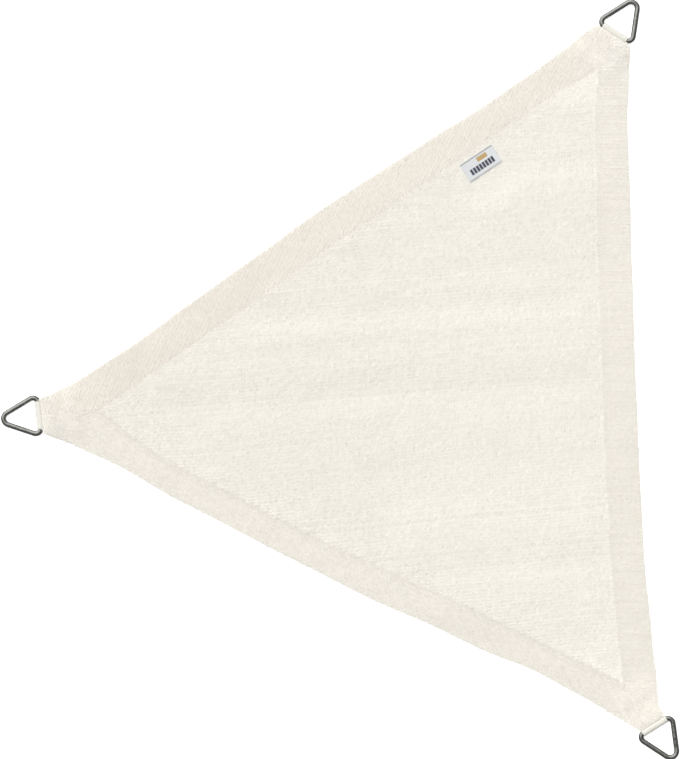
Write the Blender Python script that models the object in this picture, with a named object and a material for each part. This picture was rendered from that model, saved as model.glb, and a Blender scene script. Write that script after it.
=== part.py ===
"""A small triangular shade sail, laid out flat and face up.

The sail is knitted cloth whose edges are turned over onto the face as a broad hem. Under each corner a
webbing loop is sewn, and each loop holds a triangle ring of round bar. A woven label lies beside one hem.

Metres, +Z up out of the cloth's face. The origin is on the floor below the middle of the whole piece, and +Y
runs along the right-hand edge towards the top corner. Going round the sail from the left corner, the edges
are the lower, the right and the upper one.
"""

import math
from collections import namedtuple

import bmesh
import bpy
from mathutils import Matrix, Vector
from mathutils.geometry import delaunay_2d_cdt

CLEARANCE = 0.0003
SMOOTH_DEG = 40  # faces that meet at less than this are shaded as one surface
MERGE = 1e-5

# Cloth
ONE_LAYER = 0.0012
HEM_LAYERS = 0.0024
CORNER_LAYERS = 0.0042  # the two hems crossing at a corner
TURNED_EDGE = 0.0015  # height of the rounded outer edge, and how far in it reaches full height
STEP_RUN = 0.001  # width of the step down from the hem to the single layer
CORNER_REACH = 0.085  # how far from its ring bar a corner is thicker than the hem
CLOTH_START = 0.0075  # the cloth ends this far behind the ring's bar

# Webbing loops
STRAP_WIDTH = 0.044
STRAP_THICK = 0.0012
SLACK = 0.0006  # the loop stands this far off the bar's front, clear of the ring's bends
EYE_STEP_DEG = 18
EYE_NECK = 1.3  # the upper leg comes down to the lower one this many turning radii behind the bar
TONGUE = 0.046  # length of the sewn legs behind the bar
TONGUE_HEIGHT = 2 * STRAP_THICK + CLEARANCE
TONGUE_MARGIN = 0.0012  # flat cloth round the tongue
TONGUE_RAMP = 0.014  # beyond that, the cloth comes down to the floor over this

# Rings
ROD = 0.008
ROD_SIDES = 12
RING_WIDTH = 0.066  # straight side, between the points where the rod's middle lines would cross
BASE_DEG = 65.4  # angle between the straight side and each arm
BASE_BEND = 0.0085
TIP_BEND = 0.0104
BASE_STEPS, TIP_STEPS = 5, 7

# Label
LABEL_LENGTH, LABEL_WIDTH, LABEL_THICK = 0.060, 0.032, 0.0008
LABEL_X, LABEL_Y, LABEL_DEG = 0.2228, 0.3413, 33.6
LABEL_CALM = 0.040  # the cloth is flat this far round the label, and has its full folds at twice this

# Spacing of the cloth's points
PITCH = 0.024
END_PITCH = 0.008
TONGUE_ROOM, FOLD_ROOM, LATTICE_ROOM = 0.004, 0.010, 0.015  # least distance to a point already there

# One row for each corner: the middle of its ring's bar, the way its ring points, and how far the cloth reaches
# to the left and to the right of that line, looking out along it.
Corner = namedtuple("Corner", "name x y points_deg left right")
CORNERS = (
    Corner("left", -0.4742, -0.0564, 186.2, 0.0300, 0.0270),
    Corner("right", 0.4962, -0.5467, 302.2, 0.0210, 0.0220),
    Corner("top", 0.4334, 0.5466, 56.9, 0.0313, 0.0324),
)

# How hollow each edge of the sail is: the share of the way along it, and how far in from a straight line.
Hollow = namedtuple("Hollow", "along inward")
LOWER_EDGE = (
    Hollow(0.00, 0.0000),
    Hollow(0.05, 0.0046),
    Hollow(0.12, 0.0067),
    Hollow(0.22, 0.0004),
    Hollow(0.43, -0.0030),
    Hollow(0.54, -0.0040),
    Hollow(0.66, 0.0018),
    Hollow(0.72, 0.0022),
    Hollow(0.82, 0.0097),
    Hollow(0.89, 0.0070),
    Hollow(1.00, 0.0000),
)
RIGHT_EDGE = (
    Hollow(0.00, 0.0000),
    Hollow(0.02, 0.0080),
    Hollow(0.06, 0.0086),
    Hollow(0.11, 0.0122),
    Hollow(0.24, 0.0183),
    Hollow(0.36, 0.0186),
    Hollow(0.50, 0.0176),
    Hollow(0.66, 0.0147),
    Hollow(0.79, 0.0114),
    Hollow(0.88, 0.0106),
    Hollow(0.96, 0.0040),
    Hollow(1.00, 0.0000),
)
UPPER_EDGE = (
    Hollow(0.00, 0.0000),
    Hollow(0.02, 0.0000),
    Hollow(0.06, 0.0038),
    Hollow(0.12, 0.0060),
    Hollow(0.22, 0.0070),
    Hollow(0.30, 0.0034),
    Hollow(0.50, -0.0006),
    Hollow(0.61, 0.0036),
    Hollow(0.71, 0.0066),
    Hollow(0.84, 0.0115),
    Hollow(0.94, 0.0098),
    Hollow(0.98, 0.0050),
    Hollow(1.00, 0.0000),
)
EDGES = (LOWER_EDGE, RIGHT_EDGE, UPPER_EDGE)

# The line where the hem ends and the single layer begins: its three corners, left, right and top, and how
# hollow it is between them.
PANEL_CORNERS = ((-0.3792, -0.0482), (0.4456, -0.4780), (0.4061, 0.4890))
PANEL_EDGES = (
    (
        Hollow(0.00, 0.0000),
        Hollow(0.09, -0.0160),
        Hollow(0.15, -0.0210),
        Hollow(0.42, -0.0210),
        Hollow(0.60, -0.0130),
        Hollow(0.72, -0.0055),
        Hollow(1.00, 0.0000),
    ),
    (
        Hollow(0.00, 0.0000),
        Hollow(0.10, 0.0045),
        Hollow(0.22, 0.0105),
        Hollow(0.40, 0.0120),
        Hollow(0.70, 0.0105),
        Hollow(0.90, 0.0070),
        Hollow(1.00, 0.0000),
    ),
    (
        Hollow(0.00, 0.0000),
        Hollow(0.08, -0.0070),
        Hollow(0.30, -0.0070),
        Hollow(0.50, -0.0064),
        Hollow(0.80, -0.0030),
        Hollow(1.00, 0.0000),
    ),
)

# Folds left by packing, each a low ridge of the lifted cloth, named for what it is beside. A row gives the
# two ends of its crest, the width of its upper and lower side, its height, and how sharply each side meets
# the floor: CREASE where the cloth was pressed, SOFT where it dies away.
CREASE, SOFT = 1, 2
Fold = namedtuple("Fold", "name x0 y0 x1 y1 above below height foot_above foot_below")
FOLDS = (
    Fold("upper ridge", 0.170, 0.292, 0.480, 0.306, 0.045, 0.150, 0.0052, SOFT, SOFT),
    Fold("above middle crease", -0.330, 0.008, 0.440, 0.046, 0.095, 0.052, 0.0048, SOFT, CREASE),
    Fold("below middle crease", -0.240, -0.075, 0.430, -0.056, 0.056, 0.125, 0.0038, CREASE, SOFT),
    Fold("above lower crease", 0.060, -0.264, 0.450, -0.232, 0.110, 0.056, 0.0044, SOFT, CREASE),
    Fold("below lower crease", 0.110, -0.352, 0.450, -0.330, 0.050, 0.085, 0.0034, CREASE, SOFT),
    Fold("long ripple", -0.180, 0.062, 0.420, 0.100, 0.026, 0.026, 0.0018, SOFT, SOFT),
    Fold("second ripple", -0.020, 0.128, 0.420, 0.160, 0.034, 0.026, 0.0014, SOFT, SOFT),
    Fold("left pucker", -0.128, 0.126, -0.084, 0.156, 0.012, 0.022, 0.0022, CREASE, SOFT),
    Fold("right pucker", -0.012, 0.199, 0.034, 0.229, 0.012, 0.022, 0.0022, CREASE, SOFT),
    Fold("top pucker", 0.345, 0.405, 0.392, 0.447, 0.018, 0.034, 0.0022, SOFT, SOFT),
    Fold("right corner pucker", 0.395, -0.418, 0.437, -0.452, 0.022, 0.030, 0.0022, SOFT, SOFT),
)
FOLD_FADE = 0.070  # a fold dies away over this at each end, or over half its length if that is less


def eased(share):
    """0 to 1 with a soft start and a soft end."""
    share = min(max(share, 0.0), 1.0)
    return share * share * (3.0 - 2.0 * share)


def hollow_at(rows, along):
    """How far in the edge is at this share of its length."""
    for first, second in zip(rows, rows[1:]):
        if along <= second.along:
            share = (along - first.along) / (second.along - first.along)
            return first.inward + (second.inward - first.inward) * eased(share)
    return rows[-1].inward


def left_of(direction):
    return Vector((-direction.y, direction.x)).normalized()


def heading(degrees):
    return Vector((math.cos(math.radians(degrees)), math.sin(math.radians(degrees))))


def edge_points(start, end, rows, pitch):
    """Points from start up to, and not with, end."""
    run = end - start
    count = max(1, round(run.length / pitch))
    return [
        start + run * (i / count) + left_of(run) * hollow_at(rows, i / count)
        for i in range(count)
    ]


def outline():
    """The sail's edge, anticlockwise: the short end at each corner, then the long edge to the next."""
    straight = (Hollow(0.0, 0.0), Hollow(1.0, 0.0))
    ends = []
    for corner in CORNERS:
        out = heading(corner.points_deg)
        middle = Vector((corner.x, corner.y)) - out * CLOTH_START
        ends.append((middle - left_of(out) * corner.right, middle + left_of(out) * corner.left))
    loop = []
    for i, rows in enumerate(EDGES):
        loop += edge_points(*ends[i], straight, END_PITCH)
        loop += edge_points(ends[i][1], ends[(i + 1) % 3][0], rows, PITCH)
    return loop


def panel_outline():
    corners = [Vector(point) for point in PANEL_CORNERS]
    loop = []
    for i, rows in enumerate(PANEL_EDGES):
        loop += edge_points(corners[i], corners[(i + 1) % 3], rows, PITCH)
    return loop


def inset(loop, distance):
    """The closed outline moved inwards, with mitred corners."""
    moved = []
    for i, here in enumerate(loop):
        first = left_of(here - loop[i - 1])
        second = left_of(loop[(i + 1) % len(loop)] - here)
        mitre = (first + second).normalized()
        moved.append(here + mitre * (distance / mitre.dot(first)))
    return moved


def is_inside(point, loop):
    found = False
    for i, here in enumerate(loop):
        before = loop[i - 1]
        if (here.y > point.y) != (before.y > point.y):
            crossing = before.x + (point.y - before.y) * (here.x - before.x) / (here.y - before.y)
            found ^= point.x < crossing
    return found


def fold_lift(fold, point):
    start, end = Vector((fold.x0, fold.y0)), Vector((fold.x1, fold.y1))
    run = end - start
    along = (point - start).dot(run.normalized())
    across = (point - start).dot(left_of(run))
    side, foot = (
        (fold.above, fold.foot_above) if across > 0 else (fold.below, fold.foot_below)
    )
    fade = min(FOLD_FADE, run.length / 2)
    ends = eased(along / fade) * eased((run.length - along) / fade)
    return fold.height * ends * max(0.0, 1.0 - (across / side) ** 2) ** foot


def tongue_lift(corner, point):
    """The cloth lies over the strap's sewn legs, and comes down to the floor round them."""
    out = heading(corner.points_deg)
    away = point - Vector((corner.x, corner.y))
    behind = -away.dot(out) - TONGUE - TONGUE_MARGIN
    beside = abs(away.dot(left_of(out))) - STRAP_WIDTH / 2 - TONGUE_MARGIN
    outside = math.hypot(max(behind, 0.0), max(beside, 0.0))
    return (TONGUE_HEIGHT + CLEARANCE) * (1.0 - eased(outside / TONGUE_RAMP))


def lift(point):
    """Height of the cloth's underside."""
    calm = eased((point - Vector((LABEL_X, LABEL_Y))).length / LABEL_CALM - 1.0)
    folds = calm * sum(fold_lift(fold, point) for fold in FOLDS)
    return folds + max(tongue_lift(corner, point) for corner in CORNERS)


def hem_thickness(point):
    nearest = min((point - Vector((corner.x, corner.y))).length for corner in CORNERS)
    share = 1.0 - eased((nearest - TONGUE) / (CORNER_REACH - TONGUE))
    return HEM_LAYERS + (CORNER_LAYERS - HEM_LAYERS) * share


def fold_points():
    """Points along the crest and both feet of each fold, so that the mesh follows it."""
    for fold in FOLDS:
        start, end = Vector((fold.x0, fold.y0)), Vector((fold.x1, fold.y1))
        run = end - start
        count = max(2, round(run.length / PITCH))
        for side in (0.0, fold.above, -fold.below, fold.above / 2, -fold.below / 2):
            for i in range(count + 1):
                yield start + run * (i / count) + left_of(run) * side


def tongue_points(corner):
    """Points round the tongue's footprint and at the foot of the ramp beyond it."""
    out = heading(corner.points_deg)
    side = left_of(out)
    middle = Vector((corner.x, corner.y))
    for extra in (TONGUE_MARGIN, TONGUE_MARGIN + TONGUE_RAMP / 2, TONGUE_MARGIN + TONGUE_RAMP):
        half, length = STRAP_WIDTH / 2 + extra, TONGUE + extra
        rows = round(length / END_PITCH)
        columns = round(2 * half / END_PITCH)
        for i in range(rows + 1):
            for across in (-half, half):
                yield middle - out * (length * i / rows) + side * across
        for i in range(1, columns):
            yield middle - out * length + side * (half * (2 * i / columns - 1))


def lattice_points(loop):
    """Rows of points in a triangle pattern over the whole sail."""
    low = Vector((min(p.x for p in loop), min(p.y for p in loop)))
    high = Vector((max(p.x for p in loop), max(p.y for p in loop)))
    row_step = PITCH * math.sqrt(3) / 2
    for row in range(int((high.y - low.y) / row_step) + 1):
        shift = PITCH / 2 * (row % 2)
        for column in range(int((high.x - low.x) / PITCH) + 1):
            yield Vector((low.x + shift + column * PITCH, low.y + row * row_step))


def cloth_points():
    """The sail's edge, its points with their thickness, and the lines between them that the mesh keeps."""
    edge = outline()
    shoulder = inset(edge, TURNED_EDGE)
    hem = panel_outline()
    panel = inset(hem, STEP_RUN)
    points, thickness, lines = [], [], []
    for loop, thick in (
        (edge, lambda point: TURNED_EDGE),
        (shoulder, hem_thickness),
        (hem, hem_thickness),
        (panel, lambda point: ONE_LAYER),
    ):
        first = len(points)
        points += loop
        thickness += [thick(point) for point in loop]
        lines += [(first + i, first + (i + 1) % len(loop)) for i in range(len(loop))]
    tongues = [point for corner in CORNERS for point in tongue_points(corner)]
    for free, room in (
        (tongues, TONGUE_ROOM),
        (fold_points(), FOLD_ROOM),
        (lattice_points(edge), LATTICE_ROOM),
    ):
        for point in free:
            clear = min((point - other).length for other in points) > room
            if clear and is_inside(point, shoulder):
                points.append(point)
                single = is_inside(point, panel)
                thickness.append(ONE_LAYER if single else hem_thickness(point))
    return edge, points, thickness, lines


def finish(name, mesh_data, material, smooth_deg=None):
    """A mesh object of this shape, with its faces turned outwards."""
    bmesh.ops.recalc_face_normals(mesh_data, faces=mesh_data.faces)
    mesh = bpy.data.meshes.new(name)
    mesh_data.to_mesh(mesh)
    mesh_data.free()
    if smooth_deg:
        mesh.shade_smooth()
        mesh.set_sharp_from_angle(angle=math.radians(smooth_deg))
    mesh.materials.append(material)
    shape = bpy.data.objects.new(name, mesh)
    bpy.context.scene.collection.objects.link(shape)
    return shape


def make_cloth(material):
    edge, points, thickness, lines = cloth_points()
    flat, _, faces, sources, _, _ = delaunay_2d_cdt(points, lines, [], 0, MERGE / 10, True)
    sheet = bmesh.new()
    under = sheet.verts.layers.float.new("under")
    over = sheet.verts.layers.float.new("over")
    for point, source in zip(flat, sources):
        vert = sheet.verts.new((point.x, point.y, 0.0))
        vert[under] = lift(point)
        vert[over] = vert[under] + thickness[source[0]]
    sheet.verts.ensure_lookup_table()
    for face in faces:
        if is_inside(sum((flat[i] for i in face), Vector((0.0, 0.0))) / 3, edge):
            sheet.faces.new([sheet.verts[i] for i in face])
    for vert in sheet.verts:
        vert.co.z = vert[under]
    raised = bmesh.ops.extrude_face_region(sheet, geom=list(sheet.faces), use_keep_orig=True)
    for piece in raised["geom"]:
        if isinstance(piece, bmesh.types.BMVert):
            piece.co.z = piece[over]
    return finish("sail_cloth", sheet, material, SMOOTH_DEG)


def strap_path():
    """The middle line of the webbing, seen from its edge: out under the bar, round it and back on top."""
    level = STRAP_THICK / 2
    turn = ROD / 2 + CLEARANCE + level
    bar = 2 * level + CLEARANCE + ROD / 2
    upper = STRAP_THICK + CLEARANCE + level
    path = [Vector((-TONGUE, level))]
    for degrees in range(-90, 180 + EYE_STEP_DEG, EYE_STEP_DEG):
        forward = SLACK if degrees <= 90 else 0.0
        path.append(Vector((forward, bar)) + heading(degrees) * turn)
    path += [Vector((-EYE_NECK * turn, upper)), Vector((-TONGUE, upper))]
    return path


def make_loop(corner, material):
    """The webbing's path thickened to both sides, and drawn out to the strap's width."""
    path = strap_path()
    sides = {1: [], -1: []}
    for i, here in enumerate(path):
        before = path[max(i - 1, 0)]
        after = path[min(i + 1, len(path) - 1)]
        first = left_of(here - before) if i else left_of(after - here)
        second = left_of(after - here) if after != here else first
        mitre = (first + second).normalized()
        for side, points in sides.items():
            points.append(here + mitre * (side * STRAP_THICK / 2 / mitre.dot(first)))
    section = sides[1] + sides[-1][::-1]
    strap = bmesh.new()
    face = strap.faces.new([strap.verts.new((p.x, -STRAP_WIDTH / 2, p.y)) for p in section])
    drawn = bmesh.ops.extrude_face_region(strap, geom=[face], use_keep_orig=True)
    moved = [piece for piece in drawn["geom"] if isinstance(piece, bmesh.types.BMVert)]
    bmesh.ops.translate(strap, verts=moved, vec=(0.0, STRAP_WIDTH, 0.0))
    bmesh.ops.triangulate(strap, faces=strap.faces)
    shape = finish("corner_loop_" + corner.name, strap, material, SMOOTH_DEG)
    shape.location = (corner.x, corner.y, 0.0)
    shape.rotation_euler.z = math.radians(corner.points_deg)
    return shape


def ring_mesh():
    """Round bar bent from the middle of its straight side, which lies along X, round to there again."""
    base, half_tip = math.radians(BASE_DEG), math.radians(90 - BASE_DEG)
    base_cut = BASE_BEND / math.tan(base / 2)
    tip_cut = TIP_BEND / math.tan(half_tip)
    arm = RING_WIDTH / 2 / math.cos(base) - base_cut - tip_cut
    half_side = RING_WIDTH / 2 - base_cut
    rod = bmesh.new()
    across = Matrix.Rotation(math.pi / 2, 4, "Y") @ Matrix.Rotation(math.pi / ROD_SIDES, 4, "Z")
    bmesh.ops.create_circle(rod, segments=ROD_SIDES, radius=ROD / 2, matrix=across)
    end = list(rod.edges)
    place, way = Vector((0.0, 0.0, 0.0)), Vector((1.0, 0.0, 0.0))
    for run, bend, turn, steps in (
        (half_side, BASE_BEND, math.pi - base, BASE_STEPS),
        (arm, TIP_BEND, math.pi - 2 * half_tip, TIP_STEPS),
        (arm, BASE_BEND, math.pi - base, BASE_STEPS),
        (half_side, 0.0, 0.0, 0),
    ):
        made = bmesh.ops.extrude_edge_only(rod, edges=end)["geom"]
        bmesh.ops.translate(
            rod, verts=[e for e in made if isinstance(e, bmesh.types.BMVert)], vec=way * run
        )
        end = [e for e in made if isinstance(e, bmesh.types.BMEdge)]
        place = place + way * run
        if steps:
            centre = place + Vector((-way.y, way.x, 0.0)) * bend
            made = bmesh.ops.spin(
                rod, geom=end, cent=centre, axis=(0, 0, 1), angle=turn, steps=steps
            )["geom_last"]
            end = [e for e in made if isinstance(e, bmesh.types.BMEdge)]
            spun = Matrix.Rotation(turn, 3, "Z")
            place, way = centre + spun @ (place - centre), spun @ way
    bmesh.ops.remove_doubles(rod, verts=rod.verts, dist=MERGE)
    return rod


def make_ring(corner, material):
    """The ring tips down from the bar in its loop until its far end meets the floor."""
    shape = finish("ring_" + corner.name, ring_mesh(), material, SMOOTH_DEG)
    bar_height = STRAP_THICK + CLEARANCE + ROD / 2
    half_tip = math.radians(90 - BASE_DEG)
    reach = RING_WIDTH / 2 / math.tan(half_tip) - TIP_BEND * (1 / math.sin(half_tip) - 1)
    tip_down = -math.asin((bar_height - ROD / 2) / reach)
    shape.rotation_euler = (tip_down, 0.0, math.radians(corner.points_deg - 90))
    shape.location = (corner.x, corner.y, bar_height)
    return shape


def make_label(material):
    slab = bmesh.new()
    size = Matrix.Diagonal((LABEL_LENGTH, LABEL_WIDTH, LABEL_THICK, 1.0))
    bmesh.ops.create_cube(slab, size=1.0, matrix=size)
    shape = finish("label", slab, material)
    shape.location = (LABEL_X, LABEL_Y, ONE_LAYER + CLEARANCE + LABEL_THICK / 2)
    shape.rotation_euler.z = math.radians(LABEL_DEG)
    return shape


def surface(name, colour, roughness, metallic=0.0):
    material = bpy.data.materials.new(name)
    material.use_nodes = True
    shader = material.node_tree.nodes["Principled BSDF"]
    shader.inputs["Base Color"].default_value = (*colour, 1.0)
    shader.inputs["Roughness"].default_value = roughness
    shader.inputs["Metallic"].default_value = metallic
    return material


def main():
    for shape in list(bpy.data.objects):
        bpy.data.objects.remove(shape)
    cloth = surface("knitted cloth", (0.88, 0.85, 0.77), 0.9)
    webbing = surface("webbing", (0.86, 0.84, 0.75), 0.8)
    steel = surface("polished steel", (0.45, 0.45, 0.43), 0.22, 1.0)
    ribbon = surface("label ribbon", (0.80, 0.82, 0.86), 0.6)
    make_cloth(cloth)
    for corner in CORNERS:
        make_loop(corner, webbing)
        make_ring(corner, steel)
    make_label(ribbon)


main()
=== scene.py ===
"""The looks of a small triangular shade sail, which lies flat and face up on a pale floor.

Metres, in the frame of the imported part: +Z out of the cloth's face, +Y along the right-hand edge.
"""

import math
from collections import namedtuple

import bmesh
import bpy
import numpy as np
from mathutils import Matrix, Vector
from mathutils.geometry import delaunay_2d_cdt
from mathutils.kdtree import KDTree


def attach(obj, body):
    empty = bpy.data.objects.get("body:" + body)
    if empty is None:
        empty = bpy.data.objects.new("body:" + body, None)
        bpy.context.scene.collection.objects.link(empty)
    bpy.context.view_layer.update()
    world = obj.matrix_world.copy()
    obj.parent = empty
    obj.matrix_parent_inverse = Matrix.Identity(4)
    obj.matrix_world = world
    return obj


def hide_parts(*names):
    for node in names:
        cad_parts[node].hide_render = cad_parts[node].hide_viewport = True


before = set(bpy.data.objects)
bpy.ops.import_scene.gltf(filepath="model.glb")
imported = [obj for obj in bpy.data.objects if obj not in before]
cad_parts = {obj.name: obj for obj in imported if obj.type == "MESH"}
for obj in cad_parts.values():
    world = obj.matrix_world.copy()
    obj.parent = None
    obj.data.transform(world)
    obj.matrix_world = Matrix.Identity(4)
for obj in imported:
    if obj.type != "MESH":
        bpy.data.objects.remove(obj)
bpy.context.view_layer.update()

# ------------------------------------------------------------------------------------------ the cut cloth
# The sail is one cut of knitted polyethylene cloth, single in the middle. Its three long edges are turned
# over onto the face as broad hems. It lies on the floor, lifted by the folds that packing left in it. This
# is its ground: the close inner face of the knit, on which the yarns that show are laid below. It is
# painted darker than the yarns, as the shade in the openings between them.

# The middle of the ring's bar, the way in which the corner points, and how far the cloth's short edge runs
# to the left and to the right of that.
Corner = namedtuple("Corner", "x y points_deg left right")
CORNERS = {
    "left": Corner(-0.4742, -0.0564, 186.2, 0.0300, 0.0270),
    "right": Corner(0.4962, -0.5467, 302.2, 0.0210, 0.0220),
    "top": Corner(0.4334, 0.5466, 56.9, 0.0313, 0.0324),
}
CLOTH_START = 0.0040  # the cloth ends this far behind the middle of the ring's bar

# How far in from a straight line each long edge lies, at shares of the way along it. The edges are the
# lower, the right and the upper one, and below them are the same three inner edges of the hems.
EDGE_HOLLOWS = (
    {0: 0, 0.05: 0.0046, 0.12: 0.0067, 0.22: 0.0004, 0.43: -0.0030, 0.54: -0.0040, 0.66: 0.0018,
     0.72: 0.0022, 0.82: 0.0097, 0.89: 0.0070, 1: 0},
    {0: 0, 0.02: 0.0080, 0.06: 0.0086, 0.11: 0.0122, 0.24: 0.0183, 0.36: 0.0186, 0.50: 0.0176,
     0.66: 0.0147, 0.79: 0.0114, 0.88: 0.0106, 0.96: 0.0040, 1: 0},
    {0: 0, 0.02: 0, 0.06: 0.0038, 0.12: 0.0060, 0.22: 0.0070, 0.30: 0.0034, 0.50: -0.0006,
     0.61: 0.0036, 0.71: 0.0066, 0.84: 0.0115, 0.94: 0.0098, 0.98: 0.0050, 1: 0},
)
HEM_CORNERS = ((-0.3792, -0.0482), (0.4456, -0.4780), (0.4061, 0.4890))
HEM_HOLLOWS = (
    {0: 0, 0.09: -0.0160, 0.15: -0.0210, 0.42: -0.0210, 0.60: -0.0130, 0.72: -0.0055, 1: 0},
    {0: 0, 0.10: 0.0045, 0.22: 0.0105, 0.40: 0.0120, 0.70: 0.0105, 0.90: 0.0070, 1: 0},
    {0: 0, 0.08: -0.0070, 0.30: -0.0070, 0.50: -0.0064, 0.80: -0.0030, 1: 0},
)

LAYER = 0.0008  # a hem adds this to the height of the cloth
GROUND = 0.0006  # the single cloth, without the yarns that lie on it
ROUND_EDGE = 0.0012  # the fold at the outer edge is round over this
HEM_STEP = 0.0070  # the hem's inner edge comes down over this
SEAMS = {0.0042: 0.0005, 0.0142: 0.0002}  # rows of sewing: distance from the hem's inner edge, and depth
SEAM_WIDTH = 0.0022
SEAM_PULLS = (1.0, 0.5, 0.2)  # how hard the rows pull down into the lower, the right and the upper hem
SEAM_MITRE = 0.003  # a row fades out over this where its hem goes under another
LAYERS_FADE = 0.020  # where hems cross, the third layer thins out over this
PUCKER, PUCKER_LENGTH = 0.00011, 0.019  # the sewn hems ripple along their length
PUCKER_SWAYS = ((2.6, 21.0), (1.2, 57.0))  # how the ripples shift: radians, and radians to a metre
PUCKERED = (0.004, 0.040, 0.060)  # from the inner edge: full here, full still here, and gone here
RIM_SHARE = 0.02  # the rim itself is as thick as the cloth is this share of the way in, and so isn't sharp

# A fold is a low ridge: the ends of its crest, how far it reaches to either side, its height, and whether
# it meets the flat cloth there in a crease or softly.
CREASE, SOFT = 1, 2
Fold = namedtuple("Fold", "x0 y0 x1 y1 above below height foot_above foot_below")
FOLDS = (
    Fold(0.170, 0.292, 0.452, 0.306, 0.045, 0.150, 0.0031, SOFT, SOFT),
    Fold(-0.330, 0.008, 0.440, 0.046, 0.095, 0.052, 0.0030, SOFT, CREASE),
    Fold(-0.240, -0.075, 0.430, -0.056, 0.056, 0.125, 0.0024, CREASE, SOFT),
    Fold(0.060, -0.264, 0.450, -0.232, 0.110, 0.056, 0.0025, SOFT, CREASE),
    Fold(0.110, -0.352, 0.450, -0.330, 0.050, 0.085, 0.0020, CREASE, SOFT),
    Fold(-0.180, 0.062, 0.420, 0.100, 0.026, 0.026, 0.0011, SOFT, SOFT),
    Fold(-0.020, 0.128, 0.420, 0.160, 0.034, 0.026, 0.0009, SOFT, SOFT),
    Fold(-0.128, 0.126, -0.084, 0.156, 0.012, 0.022, 0.0012, CREASE, SOFT),
    Fold(-0.012, 0.199, 0.034, 0.229, 0.012, 0.022, 0.0012, CREASE, SOFT),
    Fold(0.345, 0.405, 0.392, 0.447, 0.018, 0.034, 0.0012, SOFT, SOFT),
    Fold(0.395, -0.418, 0.437, -0.452, 0.022, 0.030, 0.0012, SOFT, SOFT),
)
FOLD_FADE = 0.070  # a crest rises over this from both its ends
EDGE_CALM = 0.020  # the folds come down to the floor over this at the outer edge
DRIFT, DRIFT_TURN_DEG, DRIFT_RATE = 1.7, 70, 13.0  # how far the ripples stray from even waves

# The length of each ripple, the way in which it runs, in degrees, and half its height.
RIPPLES = ((0.043, 8, 0.00010), (0.071, 97, 0.00014), (0.029, 64, 0.00005), (0.052, 128, 0.00008))

STRAP_WIDTH, STRAP_THICK, STRAP_LEG = 0.044, 0.0012, 0.046
CLEARANCE = 0.0003
STRAP_RAMP = 0.034  # the cloth comes down from the strap under it over this
CLIMB, CLIMB_RUN = 0.0050, 0.040  # at its end it climbs the roll of webbing by so much over this

LABEL_PLACE, LABEL_DEG = (0.2228, 0.3413), 33.6
LABEL_CALM = 0.040  # the cloth is flat this far round the label, and folded from twice as far


def eased(share):
    """0 to 1 with a soft start and a soft end."""
    share = np.clip(share, 0.0, 1.0)
    return share * share * (3.0 - 2.0 * share)


def ramp(value, start, end):
    """Eased from 0 at the start to 1 at the end, which may be the lower of the two."""
    return eased((value - start) / (end - start))


def heading(degrees):
    """The way in which an angle points."""
    return np.array((math.cos(math.radians(degrees)), math.sin(math.radians(degrees))))


class Line:
    """A line from start to end, hollow by so much at shares of the way, with the sail on its left."""

    def __init__(self, start, end, hollows=None):
        self.start = np.array(start, float)
        run = np.array(end) - self.start
        self.length = math.hypot(*run)
        self.way = run / self.length
        self.inward = np.array((-self.way[1], self.way[0]))
        self.hollows = np.array(list((hollows or {0: 0, 1: 0}).items()), float)

    def hollow(self, share):
        """How far in from the straight the line lies at shares of the way."""
        shares, inward = self.hollows.T
        share = np.clip(share, 0.0, 1.0)
        i = np.clip(np.searchsorted(shares, share, side="right") - 1, 0, len(shares) - 2)
        part = eased((share - shares[i]) / (shares[i + 1] - shares[i]))
        return inward[i] + (inward[i + 1] - inward[i]) * part

    def along(self, spots):
        return (spots - self.start) @ self.way

    def depth(self, spots):
        """How far on the sail's side of the line each spot is."""
        return (spots - self.start) @ self.inward - self.hollow(self.along(spots) / self.length)

    def spots(self, pitch, depth=0.0, past=0.0):
        """Spots along the line at that depth, the line being carried on past both its ends."""
        count = max(1, round((self.length + 2 * past) / pitch))
        run = np.linspace(-past, self.length + past, count + 1)[:, None]
        inward = depth + self.hollow(run / self.length)
        return self.start + run * self.way + inward * self.inward


def corner_ends():
    """The two ends of the short edge at each corner."""
    for corner in CORNERS.values():
        out = heading(corner.points_deg)
        side = np.array((-out[1], out[0]))
        middle = np.array((corner.x, corner.y)) - out * CLOTH_START
        yield middle - side * corner.right, middle + side * corner.left


ends = list(corner_ends())
outline = []
for i, hollows in enumerate(EDGE_HOLLOWS):
    outline += [Line(*ends[i]), Line(ends[i][1], ends[(i + 1) % 3][0], hollows)]
hem_lines = [
    Line(HEM_CORNERS[i], HEM_CORNERS[(i + 1) % 3], hollows) for i, hollows in enumerate(HEM_HOLLOWS)
]


def in_sail(spots):
    """How far inside the sail's outer edge each spot is."""
    return np.min([line.depth(spots) for line in outline], axis=0)


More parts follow.
